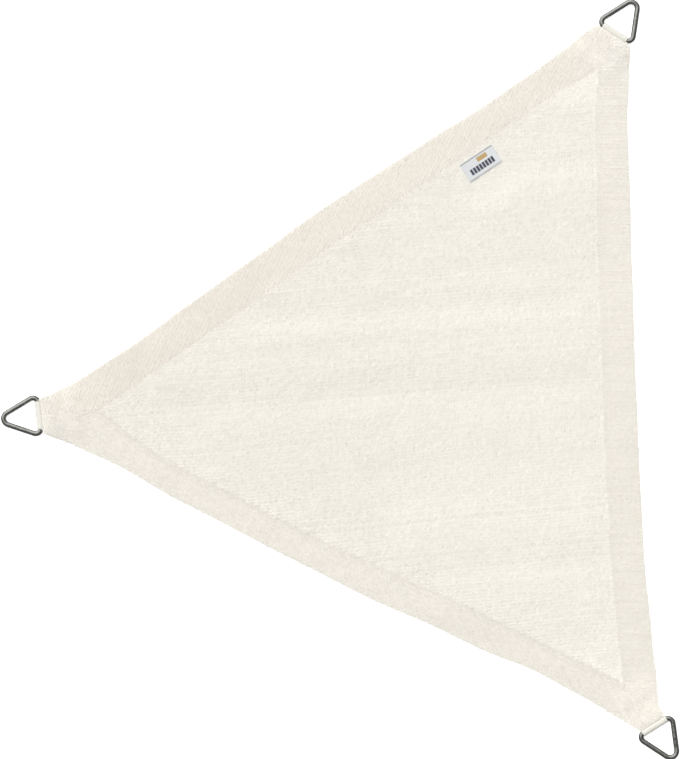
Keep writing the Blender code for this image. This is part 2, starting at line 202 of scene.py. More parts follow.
def lift(spots):
    """How far the cloth's underside is off the floor."""
    folded = np.zeros(len(spots))
    for fold in FOLDS:
        crest = Line((fold.x0, fold.y0), (fold.x1, fold.y1))
        along, across = crest.along(spots), crest.depth(spots)
        side = np.where(across > 0, fold.above, fold.below)
        foot = np.where(across > 0, fold.foot_above, fold.foot_below)
        fade = min(FOLD_FADE, crest.length / 2)
        at_ends = ramp(along, 0.0, fade) * ramp(along, crest.length, crest.length - fade)
        folded += fold.height * at_ends * np.clip(1.0 - (across / side) ** 2, 0.0, 1.0) ** foot
    for length, degrees, height in RIPPLES:
        phase = spots @ heading(degrees) * (2 * math.pi / length)
        drift = np.sin(spots @ heading(degrees + DRIFT_TURN_DEG) * DRIFT_RATE + length * 100)
        folded += height * (1.0 + np.sin(phase + DRIFT * drift))
    from_label = np.linalg.norm(spots - LABEL_PLACE, axis=1)
    folded *= ramp(from_label, LABEL_CALM, 2 * LABEL_CALM) * ramp(in_sail(spots), 0.0, EDGE_CALM)
    over_straps = 0.0
    for corner in CORNERS.values():
        out = heading(corner.points_deg)
        away = spots - (corner.x, corner.y)
        behind = np.clip(-(away @ out) - STRAP_LEG, 0.0, None)
        beside = np.clip(np.abs(away @ (-out[1], out[0])) - STRAP_WIDTH / 2, 0.0, None)
        raised = (2 * STRAP_THICK + 2 * CLEARANCE) * ramp(np.hypot(behind, beside), STRAP_RAMP, 0.0)
        raised += CLIMB * ramp(away @ out, -CLOTH_START - CLIMB_RUN, -CLOTH_START)
        over_straps = np.maximum(over_straps, raised)
    return folded + over_straps


def beyond(spots):
    """How far out of each hem's inner edge each spot is."""
    return np.array([-line.depth(spots) for line in hem_lines])


def layers(spots):
    """1 in the single cloth and 2 on a hem. Where two hems cross there are 3, and the third fades out."""
    out = beyond(spots)
    fading = ramp(out, 0.0, LAYERS_FADE)
    return 1.0 + ramp(out.max(axis=0), 0.0, HEM_STEP) + fading.sum(axis=0) - fading.max(axis=0)


def ground(spots):
    """Height of the ground's under and upper side."""
    thick = GROUND + LAYER * (layers(spots) - 1.0)
    every_out = beyond(spots)
    full, full_still, gone = PUCKERED
    for line, out, pull in zip(hem_lines, every_out, SEAM_PULLS):
        outermost = ramp(every_out.max(axis=0) - out, SEAM_MITRE, 0.0)
        for row, depth in SEAMS.items():
            thick -= outermost * pull * depth * np.exp(-(((out - row) / SEAM_WIDTH) ** 2))
        along = line.along(spots)
        sway = sum(shift * np.sin(along * rate) for shift, rate in PUCKER_SWAYS)
        puckered = ramp(out, 0.0, full) * ramp(out, gone, full_still)
        thick += puckered * PUCKER * np.sin(along * (2 * math.pi / PUCKER_LENGTH) + sway)
    edge = np.clip(in_sail(spots) / ROUND_EDGE, RIM_SHARE, 1.0)
    roundness = np.sqrt(1.0 - (1.0 - edge) ** 2)
    middle = lift(spots) + thick / 2
    return middle - thick / 2 * roundness, middle + thick / 2 * roundness


def edge_loop(pitch):
    """Spots round the whole outer edge, anticlockwise."""
    return np.concatenate([line.spots(pitch)[:-1] for line in outline])


def inset(loop, distance):
    """The closed loop moved inwards, with mitred corners."""
    run = np.roll(loop, -1, axis=0) - loop
    inward = np.stack([-run[:, 1], run[:, 0]], axis=1) / np.linalg.norm(run, axis=1)[:, None]
    mitre = inward + np.roll(inward, 1, axis=0)
    mitre /= np.linalg.norm(mitre, axis=1)[:, None]
    return loop + mitre * (distance / np.sum(mitre * inward, axis=1))[:, None]


HEM_LIP = 0.0002  # spots lie this far inside a hem's inner edge, and the hem's yarns start as far outside
CARRY_ON = 0.2  # a hem's lines run on past its ends, across the corners, to the outer edge
LINE_PITCH, HEM_PITCH, OPEN_PITCH = 0.008, 0.0052, 0.009  # spots along lines, on hems, on single cloth
RIM_INSETS = (0.12, 0.4, 1.0, 2.2)  # loops inside the rim, in shares of its round edge
LINE_ROOM, RIM_ROOM, SPOT_ROOM = 0.0032, 0.0040, 0.0036  # lines to rim, spots to rim, spots to lines
FIELD_X, FIELD_Y = (-0.52, 0.54), (-0.58, 0.58)  # rows of spots fill this, less what is off the sail
ROW_STEP = 0.866  # the height of an even triangle


def sheet_spots():
    """The sheet's spots, and the lines between them that its mesh keeps."""
    rim = edge_loop(LINE_PITCH)
    loops = [rim] + [inset(rim, share * ROUND_EDGE) for share in RIM_INSETS]
    spots, lines, count = list(loops), [], 0
    for loop in loops:
        lines += [(count + i, count + (i + 1) % len(loop)) for i in range(len(loop))]
        count += len(loop)
    open_lines = []
    for line in hem_lines:
        outs = [-HEM_LIP, HEM_STEP / 2, HEM_STEP]
        for row in SEAMS:
            outs += [row - SEAM_WIDTH, row - SEAM_WIDTH / 2, row, row + SEAM_WIDTH / 2, row + SEAM_WIDTH]
        open_lines += [line.spots(LINE_PITCH, -out, CARRY_ON) for out in outs]
    for fold in FOLDS:
        crest = Line((fold.x0, fold.y0), (fold.x1, fold.y1))
        open_lines += [crest.spots(LINE_PITCH, fold.above), crest.spots(LINE_PITCH, -fold.below)]
    for run in open_lines:
        run = run[in_sail(run) > LINE_ROOM]
        spots.append(run)
        lines += [(count + i, count + i + 1) for i in range(len(run) - 1)]
        count += len(run)
    kept = np.concatenate(spots)
    tree = KDTree(len(kept))
    for i, (x, y) in enumerate(kept):
        tree.insert((x, y, 0.0), i)
    tree.balance()
    for pitch, doubled in ((HEM_PITCH, True), (OPEN_PITCH, False)):
        x, y = np.meshgrid(np.arange(*FIELD_X, pitch), np.arange(*FIELD_Y, pitch * ROW_STEP))
        x = x + pitch / 2 * (np.arange(len(x)) % 2)[:, None]
        free = np.stack([x.ravel(), y.ravel()], axis=1)
        free = free[(in_sail(free) > RIM_ROOM) & ((layers(free) > 1.0) == doubled)]
        clear = [tree.find((x, y, 0.0))[2] > SPOT_ROOM for x, y in free]
        kept = np.concatenate([kept, free[clear]])
    return kept, lines


def lay_flat_map(mesh):
    """Gives the mesh a map of itself as seen from above, filled from edge to edge."""
    places = np.empty(len(mesh.vertices) * 3, np.float32)
    mesh.vertices.foreach_get("co", places)
    flat = places.reshape(-1, 3)[:, :2]
    flat = (flat - flat.min(axis=0)) / np.ptp(flat, axis=0)
    corners = np.empty(len(mesh.loops), np.int32)
    mesh.loops.foreach_get("vertex_index", corners)
    mesh.uv_layers.new(name="OFBake").uv.foreach_set("vector", flat[corners].ravel())


# painted light: the ground is painted paler over this, as the lit rounded fold at the outer edge
LIT_FOLD_EDGE = 0.0040  # the ground is paler over this, where the hem's fold shows at the outer edge


def cloth_sheet():
    """The whole ground: the spots at the height of its underside, and the same raised to its upper side."""
    spots, lines = sheet_spots()
    flat, _, faces, _, _, _ = delaunay_2d_cdt([Vector(p) for p in spots], lines, [], 0, 1e-6, True)
    flat = np.array(flat)
    faces = np.array(faces)
    faces = faces[in_sail(flat[faces].mean(axis=1)) > 0.0]
    under, over = ground(flat)
    cloth = bmesh.new()
    upper = cloth.verts.layers.float.new("over")
    folded = cloth.verts.layers.float.new("folded")
    for (x, y), low, high, near in zip(flat, under, over, ramp(in_sail(flat), LIT_FOLD_EDGE, 0.0)):
        spot = cloth.verts.new((x, y, low))
        spot[upper], spot[folded] = high, near
    cloth.verts.ensure_lookup_table()
    for face in faces:
        cloth.faces.new([cloth.verts[i] for i in face])
    raised = bmesh.ops.extrude_face_region(cloth, geom=list(cloth.faces), use_keep_orig=True)
    for vert in raised["geom"]:
        if isinstance(vert, bmesh.types.BMVert):
            vert.co.z = vert[upper]
    bmesh.ops.recalc_face_normals(cloth, faces=cloth.faces)
    mesh = bpy.data.meshes.new("sail_cloth")
    cloth.to_mesh(mesh)
    cloth.free()
    return mesh


class Value:
    """A socket that gives a number, a colour or a vector. Arithmetic on it adds the Math node."""

    def __init__(self, tree, socket):
        self.tree, self.socket = tree, socket

    def math(self, operation, *others):
        return self.tree.maths(operation, self, *others)

    def __add__(self, other):
        return self.math("ADD", other)

    def __sub__(self, other):
        return self.math("SUBTRACT", other)

    def __rsub__(self, other):
        return self.tree.maths("SUBTRACT", other, self)

    def __mul__(self, other):
        return self.math("MULTIPLY", other)

    def __truediv__(self, other):
        return self.math("DIVIDE", other)

    def __rtruediv__(self, other):
        return self.tree.maths("DIVIDE", other, self)

    __radd__, __rmul__ = __add__, __mul__


class Nodes:
    """The node tree of a material or of the world."""

    def __init__(self, owner):
        owner.use_nodes = True
        self.nodes, self.links = owner.node_tree.nodes, owner.node_tree.links

    def add(self, kind, settings=None, inputs=None, output=0):
        """A node of that kind: first its settings, then the values or links of its sockets."""
        node = self.nodes.new("ShaderNode" + kind)
        for name, setting in (settings or {}).items():
            setattr(node, name, setting)
        for name, value in (inputs or {}).items():
            if isinstance(value, Value):
                self.links.new(value.socket, node.inputs[name])
            else:
                node.inputs[name].default_value = value
        return Value(self, node.outputs[output])

    def maths(self, operation, *terms):
        """A Math node on those terms."""
        return self.add("Math", {"operation": operation}, dict(enumerate(terms)))

    def parts(self, vector):
        """The x and the y of a vector."""
        return [self.add("SeparateXYZ", inputs={0: vector}, output=part) for part in (0, 1)]


class Finish(Nodes):
    """A material in the making, round one surface shader."""

    def __init__(self, name, roughness, metallic=0.0, specular=0.5):
        self.material = bpy.data.materials.new(name)
        super().__init__(self.material)
        self.shader = self.nodes["Principled BSDF"]
        self.shader.inputs["Roughness"].default_value = roughness
        self.shader.inputs["Metallic"].default_value = metallic
        self.shader.inputs["Specular IOR Level"].default_value = specular

    def place(self, turned_deg=0.0, centre=(0.0, 0.0, 0.0), scale=(1.0, 1.0, 1.0)):
        """Where a point of the piece is, from that centre, along axes turned by so much."""
        spot = self.add("TexCoord", output="Object")
        moved = self.add("VectorMath", {"operation": "SUBTRACT"}, {0: spot, 1: centre})
        turn = (0.0, 0.0, -math.radians(turned_deg))
        return self.add("Mapping", inputs={"Vector": moved, "Rotation": turn, "Scale": scale})

    def noise(self, scale, detail=2.0, roughness=0.5):
        """From 0 to 1, in patches of which there are scale to a metre."""
        spot = self.add("TexCoord", output="Object")
        inputs = {"Vector": spot, "Scale": scale, "Detail": detail, "Roughness": roughness}
        return self.add("TexNoise", inputs=inputs)

    def blend(self, share, first, second):
        """From the first colour to the second."""
        colours = [c if isinstance(c, Value) else (*c, 1.0) for c in (first, second)]
        settings = {"data_type": "RGBA"}
        return self.add("Mix", settings, {0: share, 6: colours[0], 7: colours[1]}, output=2)

    def feed(self, name, value):
        self.links.new(value.socket, self.shader.inputs[name])

    def bump(self, height, depth):
        """Raises the surface by so many metres where height is 1."""
        self.feed("Normal", self.add("Bump", inputs={"Height": height, "Distance": depth}))


RIB_DEG, RIB_PITCH, COURSE = 5.0, 0.00545, 0.0046  # the knit's ribs, and the stitches along them
# The ground's dark colour is painted shade, for the openings between the yarns.
GROUND_LIGHT, GROUND_DARK = (0.80, 0.765, 0.70), (0.56, 0.53, 0.465)
GROUND_RELIEF = 0.0004


def ground_finish():
    """The knit's inner face: rows of close loops, painted darker than the yarns in front, as the shade
    between them.
    """
    finish = Finish("knitted ground", roughness=0.75, specular=0.3)
    along, across = finish.parts(finish.place(RIB_DEG, scale=(1 / COURSE, 1 / RIB_PITCH, 1.0)))
    ribs = (across * (2 * math.pi)).math("SINE")
    loops = (along * (2 * math.pi)).math("SINE")
    patches = finish.noise(16, detail=4, roughness=0.6)
    relief = ribs * 0.25 + loops * 0.15 + finish.noise(420) * 0.4 + 0.3
    # Painted light makes the ground paler on the lit fold at the outer edge, and painted shade makes it
    # darker in the relief's hollows.
    folded = finish.add("Attribute", {"attribute_name": "folded"}, output="Fac")
    share = relief * 0.5 + patches * 0.2 + 0.15 + folded * 0.6
    finish.feed("Base Color", finish.blend(share, GROUND_DARK, GROUND_LIGHT))
    finish.bump(relief, GROUND_RELIEF)
    return finish.material


def show(name, mesh, material, smooth_deg=None):
    """Puts a finished mesh in the scene, as a piece that rides with the sail."""
    if smooth_deg is not None:
        mesh.shade_smooth()
        mesh.set_sharp_from_angle(angle=math.radians(smooth_deg))
    mesh.materials.clear()
    mesh.materials.append(material)
    piece = bpy.data.objects.new(name, mesh)
    bpy.context.scene.collection.objects.link(piece)
    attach(piece, "root")
    return piece


sail_mesh = cloth_sheet()
lay_flat_map(sail_mesh)
sail = show("sail_cloth_ground", sail_mesh, ground_finish(), smooth_deg=50)
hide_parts("sail_cloth")

# ------------------------------------------------------------------------------------------------ the knit
# The cloth is warp-knitted: ribs of chain stitches, and flat tapes that run to and fro between the ribs.
# The hems show the other face of the same cloth, so their ribs run as in a mirror along the folded edge.

TAPE_WIDTH, TAPE_CROWN, TAPE_RISES = 0.0026, 0.00012, (0.00022, 0.00006)
LEG_LENGTH, LEG_WIDTH, LEG_HEIGHT = COURSE * 0.62, 0.0015, 0.00090
LEG_APART, LEG_SPREAD_DEG = LEG_WIDTH * 0.35, 11
random = np.random.default_rng(7)

# The yarns are painted darker along the first row of sewing of the lower and the right hem, as the shade
# in the groove that the row pulls, and they are darker along parts of the upper and the right hem. They are
# paler in the single cloth on the right and where two hems meet there. Painted light makes them paler along
# the upper hem's first row, on the lip that the right hem's edge lifts, and in the doubled ends at the left
# and top corners. Each comes in from the first of its limits to the second.
# painted shade along the first row of the lower and the right hem, and painted light along the upper hem's
SEAM_ROW_SHADE = (0.65, 0.45, -0.35)  # along the first row of the lower, the right and the upper hem, which is paler
SEAM_ROW_AT, SEAM_ROW_SPREAD = 0.0036, 0.0034
# darker along the lower part of the right hem and the left half of the upper hem
GREY_RIGHT, RIGHT_SHARES = 0.24, (0.692, 0.308)
GREY_UPPER, UPPER_SHARES, UPPER_END = 0.36, (0.4, 0.9), (1.02, 0.92)
PALE_CLOTH, CLOTH_X = 0.13, (0.02, 0.30)
PALE_MEETING, MEETING_Y = 0.50, (0.42, 0.46)
# painted highlight on the single cloth's lip, just inside the right hem's edge
LIP_HIGHLIGHT, LIP_OUT, LIP_WIDTH = 0.45, -0.0014, 0.0018
# painted light: the yarns are paler in the doubled ends at the left and the top corner
LEFT_PAINTED_LIGHT, LEFT_X, LEFT_Y = 0.36, (-0.39, -0.44), (-0.015, -0.045)
TOP_PAINTED_LIGHT, TOP_X, TOP_Y = 0.50, (0.36, 0.40), (0.46, 0.49)


def shade(spots):
    """How much darker the yarns are painted at each spot, or below 0 how much paler: mostly painted shade
    and painted light.
    """
    x, y = spots.T
    out = beyond(spots)
    _, right, upper = out
    _, right_share, upper_share = [line.along(spots) / line.length for line in hem_lines]
    seam_row_shade = np.exp(-(((out - SEAM_ROW_AT) / SEAM_ROW_SPREAD) ** 2)) * (out >= out.max(axis=0))
    grey = GREY_UPPER * (upper > 0.0) * ramp(upper_share, *UPPER_SHARES) * ramp(upper_share, *UPPER_END)
    grey += GREY_RIGHT * (right > 0.0) * ramp(right_share, *RIGHT_SHARES)
    single = out.max(axis=0) < 0.0
    pale = single * (PALE_CLOTH * ramp(x, *CLOTH_X) + PALE_MEETING * ramp(abs(y), *MEETING_Y))
    pale += LIP_HIGHLIGHT * np.exp(-(((right - LIP_OUT) / LIP_WIDTH) ** 2))
    pale += LEFT_PAINTED_LIGHT * ramp(x, *LEFT_X) * ramp(y, *LEFT_Y)
    pale += TOP_PAINTED_LIGHT * ramp(x, *TOP_X) * ramp(y, *TOP_Y)
    return np.array(SEAM_ROW_SHADE) @ seam_row_shade + grey - pale


def copies(name, template, spots, turns, rise, tones):
    """One mesh of many copies of a small shape, each turned and laid on the ground at its spot."""
    points, faces = template
    cos, sin = np.cos(turns)[:, None], np.sin(turns)[:, None]
    x = spots[:, 0, None] + cos * points[:, 0] - sin * points[:, 1]
    y = spots[:, 1, None] + sin * points[:, 0] + cos * points[:, 1]
    flat = np.stack([x.ravel(), y.ravel()], axis=1)
    raised = np.broadcast_to(np.reshape(rise, (-1, 1)) + points[:, 2], x.shape)
    height = ground(flat)[1] + raised.ravel()
    mesh = bpy.data.meshes.new(name)
    first = np.arange(len(spots))[:, None, None] * len(points)
    corners = (first + faces).reshape(-1, faces.shape[1])
    mesh.vertices.add(len(flat))
    mesh.vertices.foreach_set("co", np.column_stack([flat, height]).ravel())
    mesh.loops.add(corners.size)
    mesh.loops.foreach_set("vertex_index", corners.ravel())
    mesh.polygons.add(len(corners))
    mesh.polygons.foreach_set("loop_start", np.arange(0, corners.size, faces.shape[1]))
    mesh.update(calc_edges=True)
    tone = mesh.attributes.new("tone", "FLOAT", "POINT")
    tone.data.foreach_set("value", np.repeat(tones, len(points)).astype(np.float32))
    lay_flat_map(mesh)
    return mesh


def arrays_of(small):
    """The points and triangles of a small bmesh, which is used up."""
    bmesh.ops.triangulate(small, faces=small.faces)
    small.verts.index_update()
    points = np.array([vert.co for vert in small.verts])
    faces = np.array([[vert.index for vert in face.verts] for face in small.faces])
    small.free()
    return points, faces


def stitch_template():
    """A chain stitch: two legs that part from the head of the one before."""
    stitch = bmesh.new()
    for side in (-1, 1):
        size = Matrix.Diagonal((LEG_LENGTH, LEG_WIDTH / 2, LEG_HEIGHT, 1.0))
        turn = Matrix.Rotation(math.radians(LEG_SPREAD_DEG) * side, 4, "Z")
        place = Matrix.Translation((0.0, side * LEG_APART, LEG_HEIGHT / 2))
        bmesh.ops.create_cone(
            stitch, cap_ends=True, segments=4, radius1=1.0, radius2=0.0, depth=1.0,
            matrix=place @ turn @ size,
        )
    return arrays_of(stitch)


def tape_template():
    """A flat tape from one rib to the next, its middle a little raised."""
    tape = bmesh.new()
    length = math.hypot(COURSE, RIB_PITCH)
    size = Matrix.Diagonal((length, TAPE_WIDTH, 1.0, 1.0))
    bmesh.ops.create_grid(tape, x_segments=1, y_segments=2, size=0.5, matrix=size)
    for vert in tape.verts:
        vert.co.z = TAPE_CROWN * (abs(vert.co.y) < TAPE_WIDTH / 4)
    return arrays_of(tape)


REACH = 0.78  # the knit is laid out so far each way, and then kept where there is cloth
WANDER = ((0.0016, 9.0, 4.0, 0.0), (0.0009, 23.0, -11.0, 2.0))  # the ribs' bends: size, rates and phase
UNEVEN_RIBS, UNEVEN_ACROSS, UNEVEN_ALONG, UNEVEN_TURNS = 0.00022, 0.00042, 0.00030, 0.16
DRAWN, DRAWN_RATES = 0.0012, (3.0, 17.0)  # how far the courses are drawn along the ribs

# The yarns' tones run from dark at -1 to light at 1.
# The tapes lie low between the ribs and are painted darker, as the shade there, and the ribs are painted
# lighter.
RIB_TONE, TAPE_TONE = 0.55, -1.0
RIBS_DIFFER, STITCHES_DIFFER, PAIRS_DIFFER = 0.27, 0.46, 0.40
TAPES_DIFFER, TAPE_RUNS, TAPE_TURNS = 0.20, 0.12, 0.05
NEXT_RIB = (-0.5, 1.0, -0.5)  # a light rib lies between darker ones
NEXT_STITCH = (0.85, -0.45)  # a light stitch often has a dark one beside it
PATCH_RATES, PATCH_STRAY = (31.0, 47.0), 2.0  # where light and dark stitches alternate


def knit(name, rib_deg, keep, material, contrast):
    """The ribs and the tapes of one piece of cloth, wherever keep says that it is."""
    rows = np.arange(-round(REACH / RIB_PITCH), round(REACH / RIB_PITCH) + 1)
    columns = np.arange(-round(REACH / COURSE), round(REACH / COURSE) + 1)
    way = heading(rib_deg)
    side = np.array((-way[1], way[0]))
    u, v = np.meshgrid(columns * COURSE, rows * RIB_PITCH)
    wander = sum(size * np.sin(u * along + v * across + phase) for size, along, across, phase in WANDER)
    uneven = random.normal(0.0, UNEVEN_RIBS, len(rows))[:, None]
    v = v + wander + uneven + random.normal(0.0, UNEVEN_ACROSS, u.shape)
    drawn = DRAWN * np.sin(v * DRAWN_RATES[1] + u * DRAWN_RATES[0])
    u = u + drawn + random.normal(0.0, UNEVEN_ALONG, u.shape)
    nodes = u[..., None] * way + v[..., None] * side
    rib_tones = np.convolve(random.normal(0.0, RIBS_DIFFER, len(rows)), NEXT_RIB, mode="same")
    turn = math.radians(rib_deg)

    spots = nodes.reshape(-1, 2)
    kept = keep(spots)
    turns = turn + random.normal(0.0, UNEVEN_TURNS, len(spots))
    runs = np.convolve(random.normal(0.0, STITCHES_DIFFER, len(spots)), NEXT_STITCH, mode="same")
    stray = PATCH_STRAY * np.sin(v * PATCH_RATES[1])
    patchy = np.clip(np.sin(u * PATCH_RATES[0] + stray), 0.0, 1.0)
    pairs = PAIRS_DIFFER * patchy * (-1.0) ** np.arange(len(columns))
    tones = RIB_TONE + np.repeat(rib_tones, len(columns)) + runs + pairs.ravel()
    tones = tones[kept] * contrast - shade(spots[kept])
    mesh = copies(name + "_ribs", stitch_template(), spots[kept], turns[kept], 0.0, tones)
    pieces = [show(name + "_ribs", mesh, material, smooth_deg=70)]

    spots = (nodes[:-1, :-1] + nodes[1:, 1:]).reshape(-1, 2) / 2
    kept = keep(spots)
    runs = np.convolve(random.normal(0.0, TAPE_RUNS, len(spots)), NEXT_STITCH, mode="same")[kept]
    spots = np.concatenate([spots[kept], spots[kept]])
    slant = math.atan2(RIB_PITCH, COURSE)
    to_and_fro = np.repeat((slant, -slant), kept.sum())
    turns = turn + to_and_fro + random.normal(0.0, TAPE_TURNS, len(spots))
    rises = np.repeat(TAPE_RISES, kept.sum())
    tones = np.tile(runs, 2) + random.normal(TAPE_TONE, TAPES_DIFFER, len(spots))
    tones = tones * contrast - shade(spots)
    mesh = copies(name + "_tapes", tape_template(), spots, turns, rises, tones)
    pieces.append(show(name + "_tapes", mesh, material, smooth_deg=70))
    return pieces


def yarn_finish(name, light, dark):
    """Matt polyethylene yarn. Stitches and tapes differ a little, and so do patches of the cloth. The
    knit's tones also carry painted shade and painted light: the tapes are darker as the shade between the
    ribs.
    """
    finish = Finish(name, roughness=0.6, specular=0.35)
    tone = finish.add("Attribute", {"attribute_name": "tone"}, output="Fac")
    patches = finish.noise(13, detail=4, roughness=0.6)
    finish.feed("Base Color", finish.blend(tone * 0.35 + patches * 0.12 + 0.6, dark, light))
    finish.bump(finish.noise(900, detail=1), 0.0001)
    return finish.material


EDGE_BARE, END_BARE = 0.0019, 0.0006  # no yarn's middle is this near a long edge, or a corner's end


def on_single_cloth(spots):
    return beyond(spots).max(axis=0) < HEM_LIP


def on_hem(number):
    """A hem shows from its inner edge outwards, as far as the mitre that it makes with the next hem."""

    def keep(spots):
        out = beyond(spots)
        depths = np.array([line.depth(spots) for line in outline])
        shown = (depths[0::2].min(axis=0) > END_BARE) & (depths[1::2].min(axis=0) > EDGE_BARE)
        return shown & (out[number] >= out.max(axis=0)) & (out[number] > HEM_LIP)

    return keep


# The single cloth's yarn is paler than the hems' yarns, mostly painted light for the floor's light that
# shows through the single layer.
YARN = (0.962, 0.932, 0.870), (0.662, 0.637, 0.565)  # at its lightest and its darkest
HEM_YARNS = {
    "lower": ((0.909, 0.871, 0.810), (0.637, 0.604, 0.531)),
    "right": ((0.922, 0.886, 0.824), (0.650, 0.618, 0.542)),
    "upper": ((0.904, 0.857, 0.793), (0.634, 0.596, 0.520)),
}
yarn = yarn_finish("knitting yarn", *YARN)
sewn_on = knit("cloth", RIB_DEG, on_single_cloth, yarn, contrast=1.1)
for number, (name, colours) in enumerate(HEM_YARNS.items()):
    way = hem_lines[number].way
    mirrored_deg = 2 * math.degrees(math.atan2(way[1], way[0])) - RIB_DEG
    hem_yarn = yarn_finish("knitting yarn of the " + name + " hem", *colours)
    sewn_on += knit(name + "_hem", mirrored_deg, on_hem(number), hem_yarn, contrast=0.7)

# ------------------------------------------------------------------------------------- sewing on the hems
# Each hem is held by two rows of lock stitches in pale thread, which pull down into the cloth and run on
# into the corners.

STITCH, STITCH_GAP, THREAD = 0.0030, 0.0009, 0.00055
THREAD_RISE, THREADS_DIFFER = 0.0004, 0.1
SEAM_END = 0.005  # a row stops this far inside the outer edge
SEAM_OVERRUN = 0.001  # a row runs this far past the mitre
THREAD_LIGHT, THREAD_DARK = (0.88, 0.86, 0.80), (0.80, 0.78, 0.71)


def thread_template():
    """One stitch: a short length of thread that dips into the cloth at both ends."""
    stitch = bmesh.new()
    for down in (1, -1):
        size = Matrix.Diagonal((STITCH / 2, THREAD / 2, THREAD / 2 * down, 1.0))
        place = Matrix.Translation((0.0, 0.0, THREAD / 4 * down))
        bmesh.ops.create_cone(
            stitch, cap_ends=False, segments=4, radius1=1.0, radius2=0.0, depth=1.0, matrix=place @ size
        )
    bmesh.ops.remove_doubles(stitch, verts=stitch.verts, dist=1e-6)
    bmesh.ops.recalc_face_normals(stitch, faces=stitch.faces)
    return arrays_of(stitch)


def seam(line, out):
    """The spots and the directions of the stitches in one row, so far out of the hem's inner edge."""
    spots = line.spots(STITCH + STITCH_GAP, -out, CARRY_ON)
    runs = np.gradient(spots, axis=0)
    outermost = -line.depth(spots) > beyond(spots).max(axis=0) - SEAM_OVERRUN
    kept = outermost & (in_sail(spots) > SEAM_END)
    return spots[kept], np.arctan2(runs[kept, 1], runs[kept, 0])


rows = [seam(line, out) for line in hem_lines for out in SEAMS]
spots, turns = [np.concatenate(column) for column in zip(*rows)]
tones = random.normal(0.0, THREADS_DIFFER, len(spots))
mesh = copies("hem_seams", thread_template(), spots, turns, THREAD_RISE, tones)
thread = yarn_finish("sewing thread", THREAD_LIGHT, THREAD_DARK)
sewn_on.append(show("hem_seams", mesh, thread, smooth_deg=80))

# ------------------------------------------------------------------------------------------ corner loops
# Under each corner a length of flat-woven webbing is doubled round the ring's bar, and its two legs are
# sewn to the back of the cloth.

ROD, SLACK = 0.008, 0.0006  # the ring's bar, and how far off its front the loop stands
WEB_ROWS, WEB_EDGE = 12, 0.0004
ROLL_DEG = range(-90, 145, 9)  # round the bar, from under it to where the cloth hides the webbing
OFF_ROLL = ((-1.0, 0.30), (-1.3, -0.08), (-1.7, -0.40))  # from there down, in radii of the turn
UPPER_LEG = 2.4  # how far behind the bar's middle the upper leg begins, in the same
LEG_SPOTS = 10


def strap_path():
    """The webbing's middle line seen from its edge, from leg to leg, and how far along it each point is."""
    level = STRAP_THICK / 2
    turn = ROD / 2 + CLEARANCE + level
    bar = 2 * level + CLEARANCE + ROD / 2
    upper = STRAP_THICK + CLEARANCE + level
    path = [(x, level) for x in np.linspace(-STRAP_LEG, -turn, LEG_SPOTS)]
    for degrees in ROLL_DEG:
        path.append(tuple(heading(degrees) * turn + (SLACK * (degrees <= 90), bar)))
    path += [(x * turn, bar + z * turn) for x, z in OFF_ROLL]
    path += [(x, upper) for x in np.linspace(-UPPER_LEG * turn, -STRAP_LEG, LEG_SPOTS)]
    path = np.array(path)
    run = np.concatenate([[0.0], np.cumsum(np.linalg.norm(np.diff(path, axis=0), axis=1))])
    return path, run


WEBBING_LIGHT, WEBBING_DARK = (0.90, 0.875, 0.80), (0.72, 0.70, 0.63)
WEBBING_PICK, WEBBING_END = 4200, 5200  # the weave along and across it, in radians to a metre


def webbing_finish():
    """Flat-woven webbing: fine ribs across it, broken by the lengthwise threads."""
    finish = Finish("webbing", roughness=0.7, specular=0.3)
    along, across = finish.parts(finish.add("UVMap", {"uv_map": "webbing"}))
    picks = (along * WEBBING_PICK).math("SINE")
    ends = (across * WEBBING_END).math("SINE")
    weave = picks * ends * 0.5 + 0.5
    finish.feed("Base Color", finish.blend(weave * 0.6 + 0.25, WEBBING_DARK, WEBBING_LIGHT))
    finish.bump(weave, 0.0003)
    return finish.material


def strap_mesh(corner):
    """One corner's loop, with the webbing's own map, and its length when laid straight."""
    path, run = strap_path()
    strap = bmesh.new()
    uv = strap.loops.layers.uv.new("webbing")
    across = np.linspace(-STRAP_WIDTH / 2, STRAP_WIDTH / 2, WEB_ROWS + 1)
    edge = [strap.verts.new((path[0][0], y, path[0][1])) for y in across]
    line = [strap.edges.new(pair) for pair in zip(edge, edge[1:])]
    for before, after in zip(path, path[1:]):
        made = bmesh.ops.extrude_edge_only(strap, edges=line)["geom"]
        step = after - before
        moved = [e for e in made if isinstance(e, bmesh.types.BMVert)]
        bmesh.ops.translate(strap, verts=moved, vec=(step[0], 0.0, step[1]))
        line = [e for e in made if isinstance(e, bmesh.types.BMEdge)]
    for face in strap.faces:
        for loop in face.loops:
            nearest = np.argmin(np.abs(path - (loop.vert.co.x, loop.vert.co.z)).sum(axis=1))
            loop[uv].uv = (run[nearest], loop.vert.co.y)
    bmesh.ops.recalc_face_normals(strap, faces=strap.faces)
    lay = Matrix.Translation((corner.x, corner.y, 0.0))
    lay = lay @ Matrix.Rotation(math.radians(corner.points_deg), 4, "Z")
    bmesh.ops.transform(strap, verts=strap.verts, matrix=lay)
    mesh = bpy.data.meshes.new("strap")
    strap.to_mesh(mesh)
    strap.free()
    return mesh, float(run[-1])


webbing = webbing_finish()
for name, corner in CORNERS.items():
    mesh, length = strap_mesh(corner)
    strap = show("webbing_loop_" + name, mesh, webbing, smooth_deg=60)
    thick = strap.modifiers.new("thickness", "SOLIDIFY")
    thick.thickness, thick.offset, thick.use_even_offset = STRAP_THICK, 0.0, True
    soft = strap.modifiers.new("soft edge", "BEVEL")
    soft.width, soft.segments, soft.limit_method = WEB_EDGE, 2, "ANGLE"
    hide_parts("corner_loop_" + name)

